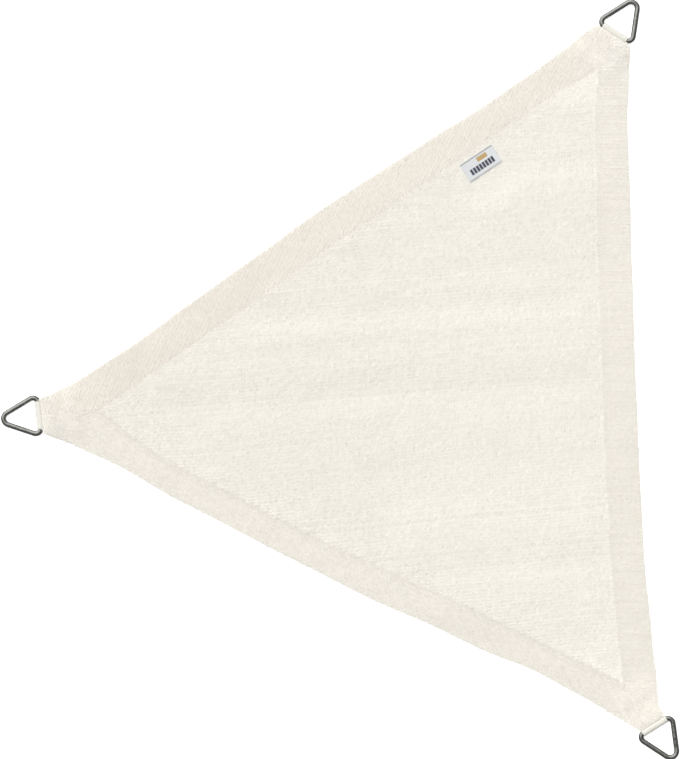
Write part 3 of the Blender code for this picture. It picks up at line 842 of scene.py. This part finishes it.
# ------------------------------------------------------------------------------------------------- rings
# Each ring is polished stainless round bar, bent to a triangle with soft corners and welded in the middle
# of its straight side, which the webbing hides.

RING_WIDTH, BASE_DEG, BASE_BEND, TIP_BEND = 0.066, 65.4, 0.0085, 0.0104
ROD_SIDES = 28
STEEL_LIGHT, STEEL_DARK = (0.55, 0.55, 0.52), (0.38, 0.38, 0.36)


def ring_mesh(corner):
    """Bar bent from the middle of its straight side round to there again."""
    base, half_tip = math.radians(BASE_DEG), math.radians(90 - BASE_DEG)
    base_cut = BASE_BEND / math.tan(base / 2)
    tip_cut = TIP_BEND / math.tan(half_tip)
    arm = RING_WIDTH / 2 / math.cos(base) - base_cut - tip_cut
    half_side = RING_WIDTH / 2 - base_cut
    rod = bmesh.new()
    upright = Matrix.Rotation(math.pi / 2, 4, "Y")
    bmesh.ops.create_circle(rod, segments=ROD_SIDES, radius=ROD / 2, matrix=upright)
    end = list(rod.edges)
    place, way = Vector((0.0, 0.0, 0.0)), Vector((1.0, 0.0, 0.0))
    for run, pieces, bend, turn, steps in (
        (half_side, 3, BASE_BEND, math.pi - base, 14),
        (arm, 5, TIP_BEND, math.pi - 2 * half_tip, 18),
        (arm, 5, BASE_BEND, math.pi - base, 14),
        (half_side, 3, 0.0, 0.0, 0),
    ):
        for _ in range(pieces):
            made = bmesh.ops.extrude_edge_only(rod, edges=end)["geom"]
            verts = [e for e in made if isinstance(e, bmesh.types.BMVert)]
            bmesh.ops.translate(rod, verts=verts, vec=way * (run / pieces))
            end = [e for e in made if isinstance(e, bmesh.types.BMEdge)]
        place = place + way * run
        if steps:
            centre = place + Vector((-way.y, way.x, 0.0)) * bend
            made = bmesh.ops.spin(rod, geom=end, cent=centre, axis=(0, 0, 1), angle=turn, steps=steps)
            end = [e for e in made["geom_last"] if isinstance(e, bmesh.types.BMEdge)]
            spun = Matrix.Rotation(turn, 3, "Z")
            place, way = centre + spun @ (place - centre), spun @ way
    bmesh.ops.remove_doubles(rod, verts=rod.verts, dist=1e-5)
    bmesh.ops.recalc_face_normals(rod, faces=rod.faces)
    bar_height = STRAP_THICK + CLEARANCE + ROD / 2
    reach = RING_WIDTH / 2 / math.tan(half_tip) - TIP_BEND * (1 / math.sin(half_tip) - 1)
    tip_down = -math.asin((bar_height - ROD / 2) / reach)
    lay = Matrix.Translation((corner.x, corner.y, bar_height))
    lay = lay @ Matrix.Rotation(math.radians(corner.points_deg - 90), 4, "Z")
    bmesh.ops.transform(rod, verts=rod.verts, matrix=lay @ Matrix.Rotation(tip_down, 4, "X"))
    mesh = bpy.data.meshes.new("ring")
    rod.to_mesh(mesh)
    rod.free()
    return mesh


def steel_finish():
    """Polished stainless steel with drawing marks, dulled in patches by handling."""
    finish = Finish("polished steel", roughness=0.16, metallic=1.0)
    worn = finish.noise(90, detail=4, roughness=0.6)
    finish.feed("Base Color", finish.blend(worn, STEEL_DARK, STEEL_LIGHT))
    finish.feed("Roughness", worn * 0.16 + 0.10)
    dents, marks = finish.noise(70), finish.noise(900)
    finish.bump(dents + marks * 0.05, 0.0015)
    return finish.material


steel = steel_finish()
for name, corner in CORNERS.items():
    ring = show("steel_ring_" + name, ring_mesh(corner), steel, smooth_deg=60)
    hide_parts("ring_" + name)
    sewn_on.append(ring)

# ------------------------------------------------------------------------------------------------- label
# The label is satin-woven ribbon, its ends turned under, sewn down flat beside the upper hem. It is plain
# but for a woven border, a row of navy bars and a gold one.

LABEL_LENGTH, LABEL_WIDTH, LABEL_THICK, LABEL_RISE = 0.060, 0.032, 0.0006, 0.0015
LABEL_EDGE = 0.00022  # how much its edges are rounded
BOW, BOW_RATES = 0.00025, (210.0, 95.0)  # the label isn't quite flat
BORDER, BORDER_UPPER, BORDER_LOWER = 0.0024, 0.9, 0.45  # its width, and how dark its two lines are
RIBBON_PICK, RIBBON_END = 11000, 7000  # the weave, in radians to a metre
RIBBON_LIGHT, RIBBON_DARK, BORDER_GREY = (0.79, 0.80, 0.80), (0.63, 0.645, 0.66), (0.36, 0.36, 0.37)
Block = namedtuple("Block", "x length y height colour")
NAVY = Block(0.0, 0.0440, -0.0042, 0.0098, (0.010, 0.012, 0.050))
GOLD = Block(0.0065, 0.0180, 0.0080, 0.0072, (0.50, 0.31, 0.07))
BAR, BAR_SHARE, BAR_SOFT = 0.0055, 0.76, 0.04  # from one navy bar to the next, and how much of it is navy


def label_mesh():
    """The ribbon's middle layer, laid beside the hem."""
    slip = bmesh.new()
    size = Matrix.Diagonal((LABEL_LENGTH, LABEL_WIDTH, 1.0, 1.0))
    bmesh.ops.create_grid(slip, x_segments=30, y_segments=16, size=0.5, matrix=size)
    for vert in slip.verts:
        bowed = BOW * math.sin(vert.co.x * BOW_RATES[0]) * math.cos(vert.co.y * BOW_RATES[1])
        vert.co.z = LABEL_RISE + LABEL_THICK / 2 + bowed
    turn = Matrix.Rotation(math.radians(LABEL_DEG), 4, "Z")
    bmesh.ops.transform(slip, verts=slip.verts, matrix=Matrix.Translation((*LABEL_PLACE, 0.0)) @ turn)
    mesh = bpy.data.meshes.new("label")
    slip.to_mesh(mesh)
    slip.free()
    return mesh


def ribbon_finish():
    """Satin ribbon, with a border along both its long edges and the bars woven in."""
    finish = Finish("satin ribbon", roughness=0.45, specular=0.5)
    x, y = finish.parts(finish.place(LABEL_DEG, (*LABEL_PLACE, 0.0)))

    def band(value, middle, width, soft=0.0002):
        off = (value - middle).math("ABSOLUTE")
        edges = {"From Min": width / 2 - soft, "From Max": width / 2 + soft, "To Min": 1.0, "To Max": 0.0}
        return finish.add("MapRange", inputs={"Value": off, **edges})

    def block(shape):
        return band(y, shape.y, shape.height) * band(x, shape.x, shape.length)

    picks = (y * RIBBON_PICK).math("SINE")
    ends = ((x + y) * RIBBON_END).math("SINE")
    weave = picks * 0.3 + ends * 0.2 + 0.5
    field = finish.blend(weave, RIBBON_DARK, RIBBON_LIGHT)
    long_edge = (LABEL_WIDTH - BORDER) / 2
    border = band(y, long_edge, BORDER) * BORDER_UPPER + band(y, -long_edge, BORDER) * BORDER_LOWER
    colour = finish.blend(border, field, BORDER_GREY)
    bars = band((x / BAR).math("FRACT"), 0.5, BAR_SHARE, BAR_SOFT)
    navy, gold = block(NAVY) * bars, block(GOLD)
    colour = finish.blend(navy * (weave * 0.12 + 0.88), colour, NAVY.colour)
    colour = finish.blend(gold * (weave * 0.16 + 0.80), colour, GOLD.colour)
    finish.feed("Base Color", colour)
    finish.bump(weave + (navy + gold) * 0.6, 0.0002)
    return finish.material


label = show("woven_label", label_mesh(), ribbon_finish(), smooth_deg=60)
thick = label.modifiers.new("thickness", "SOLIDIFY")
thick.thickness, thick.offset = LABEL_THICK, 0.0
soft = label.modifiers.new("soft edge", "BEVEL")
soft.width, soft.segments, soft.limit_method = LABEL_EDGE, 2, "ANGLE"
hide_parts("label")

# ------------------------------------------------------------------------------------- the sail as a sheet
# The sail is one flat cut, larger than it looks by the hems that are turned in.

# ------------------------------------------------------------------------------------------------ studio
# The sail lies on a white floor under a broad soft light from the upper left, and the camera looks straight
# down at it.

PICTURE_HEIGHT, PIXEL = 759, 0.00158  # the picture's height in pixels, and how much floor each one shows
LENS, SENSOR = 200.0, 36.0
FLOOR_REACH, FLOOR_DROP, FLOOR_GLOW = 20.0, 0.0003, 0.55
FLOOR_WHITE, WHITE = (0.95, 0.95, 0.95, 1.0), (1.0, 1.0, 1.0, 1.0)
WINDOW_WAY, WINDOW_EDGE = (-0.55, 1.0, 0.9), 0.35  # the room's bright side, and where its light begins
LAMP_WAY, LAMP_DEG = (-0.30, 0.52, 1.5), 80  # the way to the lamp, and how broad it looks
ROOM_DARK, ROOM_LIGHT, LAMP = 0.14, 1.15, 2.40

floor_mesh = bpy.data.meshes.new("floor")
slab = bmesh.new()
below = Matrix.Translation((0.0, 0.0, -FLOOR_DROP))
bmesh.ops.create_grid(slab, x_segments=1, y_segments=1, size=FLOOR_REACH, matrix=below)
slab.to_mesh(floor_mesh)
slab.free()
floor_finish = Finish("white floor", roughness=0.9, specular=0.1)
floor_finish.shader.inputs["Base Color"].default_value = FLOOR_WHITE
floor_finish.shader.inputs["Emission Color"].default_value = WHITE
floor_finish.shader.inputs["Emission Strength"].default_value = FLOOR_GLOW
floor_mesh.materials.append(floor_finish.material)
floor = bpy.data.objects.new("floor", floor_mesh)
bpy.context.scene.collection.objects.link(floor)
floor.visible_glossy = False

world = bpy.data.worlds.new("studio")
bpy.context.scene.world = world
room = Nodes(world)
backdrop = room.nodes["Background"]
backdrop.inputs["Color"].default_value = WHITE
terms = {0: room.add("TexCoord", output="Generated"), 1: Vector(WINDOW_WAY).normalized()}
toward = room.add("VectorMath", {"operation": "DOT_PRODUCT"}, terms, output="Value")
limits = {"From Min": WINDOW_EDGE, "From Max": 1.0, "To Min": ROOM_DARK, "To Max": ROOM_LIGHT}
light = room.add("MapRange", {"interpolation_type": "SMOOTHSTEP"}, {"Value": toward, **limits})
room.links.new(light.socket, backdrop.inputs["Strength"])

sun = bpy.data.lights.new("window", "SUN")
sun.energy = LAMP
sun.angle = math.radians(LAMP_DEG)
window = bpy.data.objects.new("window", sun)
window.rotation_euler = Vector(LAMP_WAY).to_track_quat("Z", "Y").to_euler()
window.visible_glossy = False
bpy.context.scene.collection.objects.link(window)

camera = bpy.data.cameras.new("camera")
camera.lens, camera.sensor_width = LENS, SENSOR
viewer = bpy.data.objects.new("camera", camera)
viewer.location = (0.0, 0.0, PICTURE_HEIGHT * PIXEL * LENS / SENSOR)
bpy.context.scene.collection.objects.link(viewer)
bpy.context.scene.camera = viewer
bpy.context.scene.view_settings.view_transform = "Standard"
